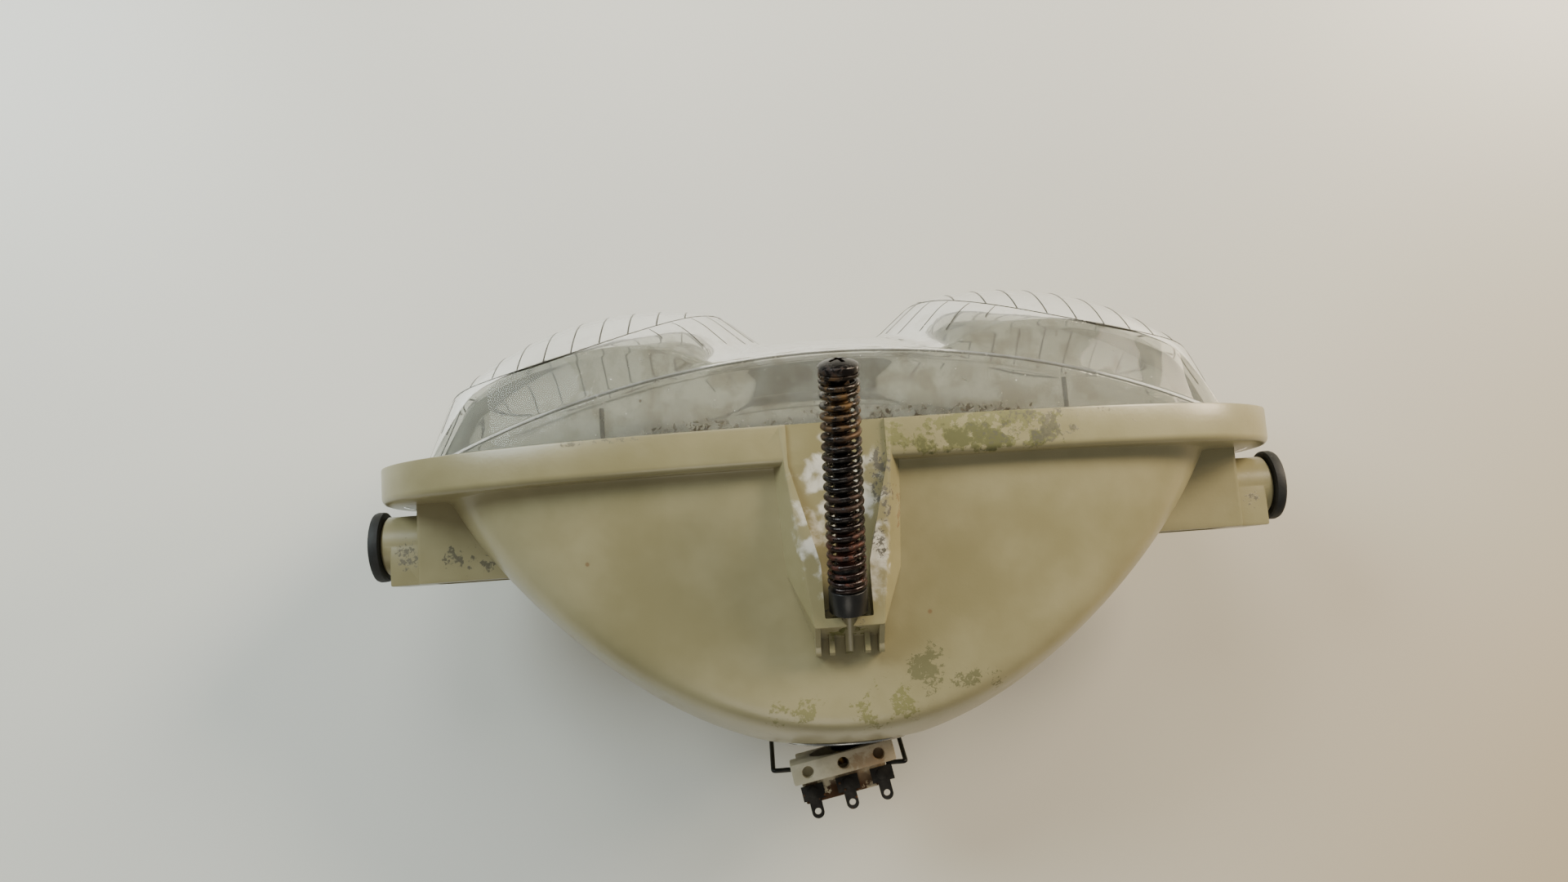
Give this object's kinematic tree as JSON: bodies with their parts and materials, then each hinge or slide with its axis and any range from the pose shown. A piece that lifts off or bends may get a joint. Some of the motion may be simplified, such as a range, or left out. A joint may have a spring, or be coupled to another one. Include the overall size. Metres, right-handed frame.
{
  "type": "moped headlamp unit",
  "caption": "Twin-eye moped headlamp: moulded bowl, domed clear lens, bulb in a clipped rear holder, side pivot bushes and a sprung aiming screw.",
  "frame": {"origin": "middle of the pivot axis, halfway between the two rubber bushes", "axes": "+X along the pivot axis, -Y the way the lamp shines, +Z towards the side with the aiming screw"},
  "size_m": [0.2556, 0.1431, 0.1271],
  "materials": {
    "housing": "yellowed off-white moulded plastic, satin, with moss and mildew stains",
    "mirror_skin": "vacuum metallised reflector",
    "clear_lens": "clear moulded plastic lens with fluted eyes",
    "sealant": "aged brown sealant bead",
    "rubber": "black rubber, dull",
    "plated_steel": "zinc plated steel",
    "rusty_steel": "dark rusty steel with worn brassy wire",
    "black_plastic": "black nylon",
    "ceramic": "cream phenolic, stained brown",
    "brass": "dull brass",
    "dark_spade": "blackened terminal steel",
    "bulb_glass": "clear bulb glass",
    "bulb_base": "nickel plated cap",
    "bail_wire": "black spring wire"
  },
  "bodies": {
    "lamp": {"housing": "housing", "reflector_skin": "mirror_skin", "lens": "clear_lens", "lens_seal": "sealant", "adjuster_spring": "rusty_steel", "adjuster_nut": "black_plastic", "bulb_shell": "bulb_base", "bulb_insulator": "black_plastic", "bulb_contacts": "brass", "bulb_glass": "bulb_glass", "filament_main": "plated_steel", "filament_dip": "plated_steel", "filament_shield": "bulb_base", "filament_supports": "plated_steel", "bulb_seal": "rubber", "holder_body": "ceramic", "terminal_left": "dark_spade", "terminal_middle": "dark_spade", "terminal_right": "dark_spade", "contact_spring_main": "plated_steel", "contact_spring_dip": "plated_steel"},
    "bush_left_body": {"bush_left": "rubber", "pivot_sleeve_left": "plated_steel"},
    "bush_right_body": {"bush_right": "rubber", "pivot_sleeve_right": "plated_steel"},
    "adjuster_screw_body": {"adjuster_screw": "rusty_steel"},
    "adjuster_carriage": {"adjuster_washer": "rusty_steel"},
    "main_pin": {"contact_pin_main": "brass"},
    "dip_pin": {"contact_pin_dip": "brass"},
    "bail": {"bail_clip": "bail_wire"}
  },
  "joints": [
    {"name": "adjuster_travel", "type": "slide", "parent": "lamp", "child": "adjuster_carriage", "axis": [0, 0.8992, -0.4376], "range_m": [0, 0.006], "deforming": ["adjuster_spring"]},
    {"name": "adjuster_turn", "type": "hinge", "parent": "adjuster_carriage", "child": "adjuster_screw_body", "pos_m": [0, -0.031, 0.075], "axis": [0, 0.8992, -0.4376], "range_deg": [0, 2701]},
    {"name": "bush_left_turn", "type": "hinge", "parent": "lamp", "child": "bush_left_body", "pos_m": [0.12, 0, 0], "axis": [-1, 0, 0], "range_deg": [0, 7]},
    {"name": "bush_right_turn", "type": "hinge", "parent": "lamp", "child": "bush_right_body", "pos_m": [-0.12, 0, 0], "axis": [-1, 0, 0], "range_deg": [0, 7]},
    {"name": "bail_swing", "type": "hinge", "parent": "lamp", "child": "bail", "pos_m": [0.0025, 0.063, -0.0195], "axis": [-1, 0, 0], "range_deg": [0, 110]},
    {"name": "main_pin_press", "type": "slide", "parent": "lamp", "child": "main_pin", "axis": [-0.1822, 0.9833, 0], "range_m": [0, 0.001], "stiffness_N_per_m": 400, "deforming": ["contact_spring_main"]},
    {"name": "dip_pin_press", "type": "slide", "parent": "lamp", "child": "dip_pin", "axis": [-0.1822, 0.9833, 0], "range_m": [0, 0.001], "stiffness_N_per_m": 400, "deforming": ["contact_spring_dip"]}
  ],
  "couplings": [
    {"joint": "adjuster_turn", "follows": "adjuster_travel", "rad_per_m": 7854},
    {"joint": "bush_left_turn", "follows": "adjuster_travel", "rad_per_m": 18.562},
    {"joint": "bush_right_turn", "follows": "adjuster_travel", "rad_per_m": 18.562}
  ]
}
